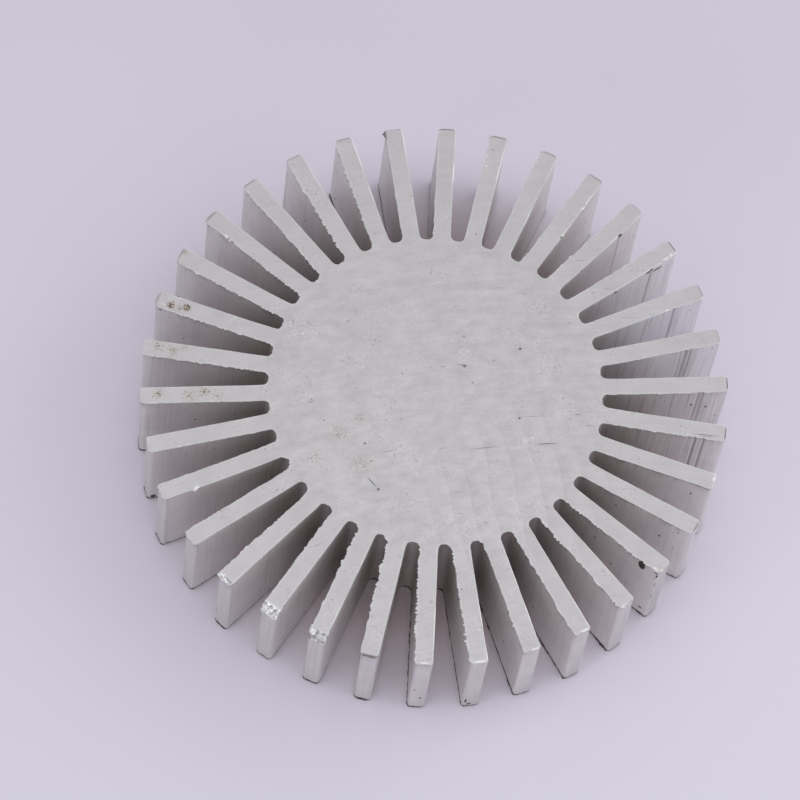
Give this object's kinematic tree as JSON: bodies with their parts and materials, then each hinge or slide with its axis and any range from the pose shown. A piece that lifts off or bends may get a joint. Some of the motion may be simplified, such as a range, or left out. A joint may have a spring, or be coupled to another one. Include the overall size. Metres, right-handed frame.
{
  "type": "sunflower heat sink",
  "caption": "Round sunflower heat sink sawn from extruded aluminium: a solid flat core ringed by straight radial fins that shed heat from a part fixed to its face.",
  "frame": {"origin": "centre of the lower sawn face, on the axis of the extrusion", "axes": "+Z along the extrusion, up through the core; +X along the first fin"},
  "size_m": [0.05, 0.0498, 0.01],
  "materials": {
    "bare_aluminium": "mill finish on the extruded sides, sawn on the two faces"
  },
  "bodies": {
    "root": {"heat_sink": "bare_aluminium"}
  },
  "joints": []
}
